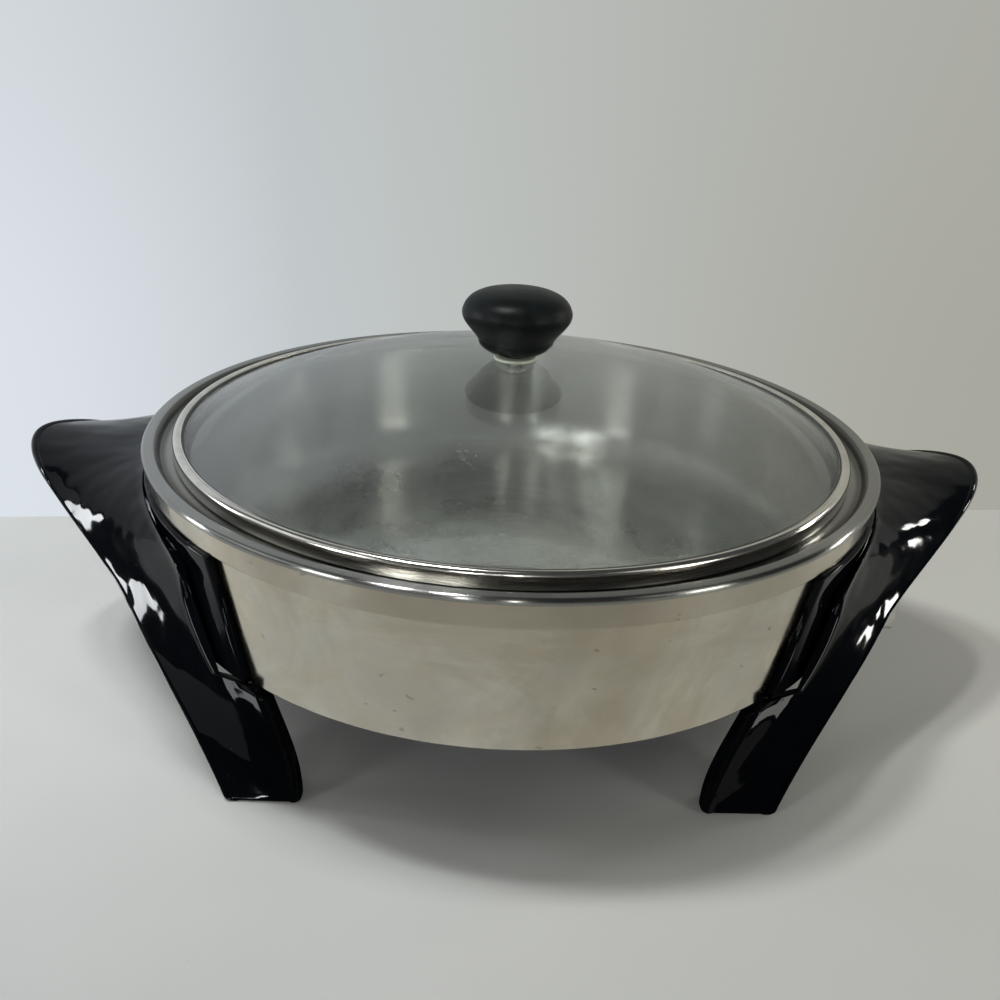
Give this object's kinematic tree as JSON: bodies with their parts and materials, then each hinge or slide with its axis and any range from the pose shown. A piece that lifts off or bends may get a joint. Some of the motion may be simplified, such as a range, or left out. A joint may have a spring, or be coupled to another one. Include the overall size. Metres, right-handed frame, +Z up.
{
  "type": "electric skillet",
  "caption": "Round double-walled stainless electric skillet on twisted black handle-legs, with a guarded plug socket and a lift-off domed glass lid with a knob.",
  "frame": {"origin": "the table top under the middle of the pan", "axes": "+Z up along the pan's axis, +X through the handle above the plug socket, -Y towards the user"},
  "size_m": [0.4502, 0.33, 0.1978],
  "materials": {
    "pan_steel": "satin stainless steel, polished at the rim",
    "shell_steel": "polished stainless steel",
    "cast_aluminium": "cast, matte",
    "element_sheath": "oxidised sheath, dull",
    "zinc_steel": "zinc plated",
    "cover_sheet": "pressed sheet, satin",
    "block_ceramic": "unglazed steatite, matte",
    "pin_metal": "nickel plated",
    "probe_metal": "plain brass tube",
    "guard_sheet": "bent stainless sheet, satin",
    "handle_black": "glossy black phenolic moulding",
    "nut_steel": "nickel plated",
    "lid_glass": "clear tempered glass with a faint green tint",
    "ring_steel": "polished stainless steel",
    "gasket_rubber": "grey silicone",
    "knob_black": "satin black phenolic",
    "insert_brass": "turned brass",
    "washer_seal": "translucent silicone"
  },
  "bodies": {
    "base": {"inner_pan": "pan_steel", "outer_shell": "shell_steel", "heat_plate": "cast_aluminium", "heating_element": "element_sheath", "element_clamps": "zinc_steel", "base_cover": "cover_sheet", "cover_screws": "zinc_steel", "terminal_block": "block_ceramic", "terminal_pin_front": "pin_metal", "terminal_pin_rear": "pin_metal", "probe_tube": "probe_metal", "terminal_guard": "guard_sheet", "guard_rivets": "zinc_steel", "handle_leg_left": "handle_black", "handle_leg_right": "handle_black", "handle_saddle_left": "handle_black", "handle_saddle_right": "handle_black", "handle_studs_left": "zinc_steel", "handle_studs_right": "zinc_steel", "handle_nuts_left": "nut_steel", "handle_nuts_right": "nut_steel"},
    "lid": {"lid_glass": "lid_glass", "lid_ring": "ring_steel", "lid_gasket": "gasket_rubber", "knob": "knob_black", "knob_insert": "insert_brass", "knob_washer": "washer_seal", "under_washer": "washer_seal", "knob_screw": "zinc_steel"}
  },
  "joints": [
    {"name": "lid_lift", "type": "slide", "parent": "base", "child": "lid", "axis": [0, 0, 1], "range_m": [0, 0.15]}
  ]
}
